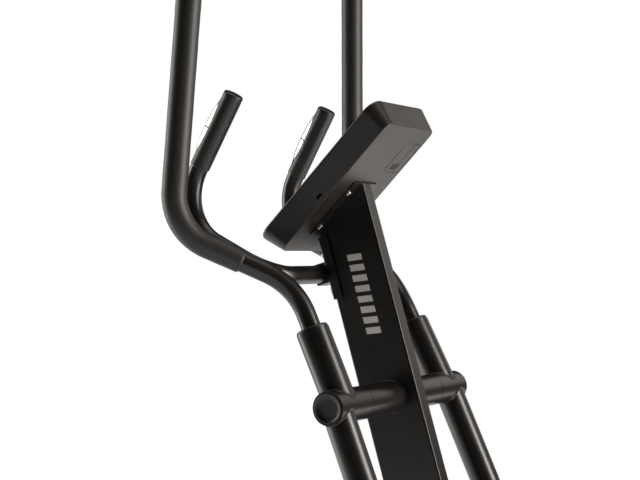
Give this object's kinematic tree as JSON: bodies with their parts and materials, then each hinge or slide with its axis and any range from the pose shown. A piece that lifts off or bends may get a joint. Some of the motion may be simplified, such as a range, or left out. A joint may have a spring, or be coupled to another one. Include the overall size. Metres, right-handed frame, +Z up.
{
  "type": "elliptical trainer",
  "caption": "Rear-drive elliptical trainer: swinging handle arms on a mast pivot, level foot plates on cranks, belt-driven flywheel, pulse handlebar and console.",
  "frame": {"origin": "on the floor under the centre of the whole machine", "axes": "+X forward, the way the user faces, +Y to the user's left, +Z up"},
  "size_m": [1.2444, 0.6584, 1.735],
  "materials": {
    "frame_paint": "satin black powder coat",
    "steel": "ground steel",
    "zinc_bolts": "bright zinc plate",
    "black_bolts": "black oxide steel",
    "black_plastic": "moulded black plastic, fine texture",
    "foam": "soft black foam, matte",
    "console_plastic": "moulded warm grey ABS, fine texture",
    "lens": "clear acrylic window",
    "circuit_board": "green circuit board",
    "button_rubber": "silicone rubber key",
    "pulse_steel": "brushed stainless steel",
    "housing_plastic": "moulded dark ABS, fine texture",
    "cast_iron": "machined cast iron",
    "magnet": "nickel plated magnet",
    "belt_rubber": "ribbed rubber belt",
    "wheel_plastic": "hard black rubber"
  },
  "bodies": {
    "frame": {"mast": "frame_paint", "pivot_axle": "steel", "pivot_bushes": "black_plastic", "pivot_bolts": "black_bolts", "flywheel_axle": "steel", "belt": "belt_rubber", "main_frame": "frame_paint", "rail_plugs": "black_plastic", "crank_bearings": "steel", "frame_bolts": "zinc_bolts", "front_stabilizer": "frame_paint", "front_end_caps": "black_plastic", "rear_stabilizer": "frame_paint", "rear_end_caps": "black_plastic", "housing_right": "housing_plastic", "housing_left": "housing_plastic", "brake_motor": "black_plastic", "fixed_handlebar": "frame_paint", "pulse_grips": "black_plastic", "pulse_plates": "pulse_steel", "handlebar_caps": "black_plastic", "handlebar_bracket": "frame_paint", "bracket_bolts": "zinc_bolts", "power_jack": "black_plastic", "console_lens": "lens", "console_board": "circuit_board", "console_plate": "frame_paint", "console_screws": "zinc_bolts", "console_back": "console_plastic", "battery_door": "console_plastic", "console_front": "console_plastic"},
    "swing_right": {"swing_arm_right": "frame_paint", "handle_right": "frame_paint", "grip_right": "foam", "handle_cap_right": "black_plastic", "sleeve_bush_right": "black_plastic"},
    "swing_left": {"swing_arm_left": "frame_paint", "handle_left": "frame_paint", "grip_left": "foam", "handle_cap_left": "black_plastic", "sleeve_bush_left": "black_plastic"},
    "pedal_right": {"pedal_arm_right": "frame_paint", "foot_plate_right": "black_plastic", "pedal_bolts_right": "zinc_bolts"},
    "pedal_left": {"pedal_arm_left": "frame_paint", "foot_plate_left": "black_plastic", "pedal_bolts_left": "zinc_bolts"},
    "crank": {"crank_axle": "steel", "crank_arm_right": "frame_paint", "crank_arm_left": "frame_paint", "drive_pulley": "black_plastic"},
    "flywheel": {"flywheel": "cast_iron", "flywheel_pulley": "cast_iron"},
    "brake": {"brake_arm": "frame_paint", "brake_magnets": "magnet"},
    "wheel_right": {"transport_wheel_right": "wheel_plastic"},
    "wheel_left": {"transport_wheel_left": "wheel_plastic"},
    "mode_button": {"button_mode": "button_rubber"},
    "up_button": {"button_up": "button_rubber"},
    "down_button": {"button_down": "button_rubber"}
  },
  "joints": [
    {"name": "swing_right", "type": "hinge", "parent": "frame", "child": "swing_right", "pos_m": [0.19319, 0, 0.955], "axis": [0, -1, 0], "range_deg": [-11.5, 14.5]},
    {"name": "swing_left", "type": "hinge", "parent": "frame", "child": "swing_left", "pos_m": [0.19319, 0, 0.955], "axis": [0, -1, 0], "range_deg": [-14.5, 11.5]},
    {"name": "pedal_right", "type": "hinge", "parent": "swing_right", "child": "pedal_right", "pos_m": [0.44429, 0, 0.31231], "axis": [0, -1, 0], "range_deg": [-14.5, 11.5]},
    {"name": "pedal_left", "type": "hinge", "parent": "swing_left", "child": "pedal_left", "pos_m": [0.4778, 0, 0.32643], "axis": [0, -1, 0], "range_deg": [-11.5, 14.5]},
    {"name": "crank_turn", "type": "hinge", "parent": "frame", "child": "crank", "pos_m": [-0.37119, 0, 0.34], "axis": [0, 1, 0], "continuous": true},
    {"name": "flywheel_turn", "type": "hinge", "parent": "frame", "child": "flywheel", "pos_m": [-0.11619, 0, 0.3], "axis": [0, 1, 0], "continuous": true},
    {"name": "brake_swing", "type": "hinge", "parent": "frame", "child": "brake", "pos_m": [-0.05101, 0, 0.19569], "axis": [0, 1, 0], "range_deg": [0, 5]},
    {"name": "wheel_right_roll", "type": "hinge", "parent": "frame", "child": "wheel_right", "pos_m": [0.59619, 0, 0.032], "axis": [0, 1, 0], "continuous": true},
    {"name": "wheel_left_roll", "type": "hinge", "parent": "frame", "child": "wheel_left", "pos_m": [0.59619, 0, 0.032], "axis": [0, 1, 0], "continuous": true},
    {"name": "mode_press", "type": "slide", "parent": "frame", "child": "mode_button", "axis": [0.7124, 0, -0.7018], "range_m": [0, 0.0015], "stiffness_N_per_m": 300, "springref_m": -0.001},
    {"name": "up_press", "type": "slide", "parent": "frame", "child": "up_button", "axis": [0.7124, 0, -0.7018], "range_m": [0, 0.0015], "stiffness_N_per_m": 300, "springref_m": -0.001},
    {"name": "down_press", "type": "slide", "parent": "frame", "child": "down_button", "axis": [0.7124, 0, -0.7018], "range_m": [0, 0.0015], "stiffness_N_per_m": 300, "springref_m": -0.001}
  ],
  "couplings": [
    {"joint": "swing_left", "follows": "swing_right", "ratio": -1},
    {"joint": "pedal_right", "follows": "swing_right", "ratio": -1},
    {"joint": "pedal_left", "follows": "swing_right", "ratio": 1},
    {"joint": "flywheel_turn", "follows": "crank_turn", "ratio": 5.6899}
  ]
}
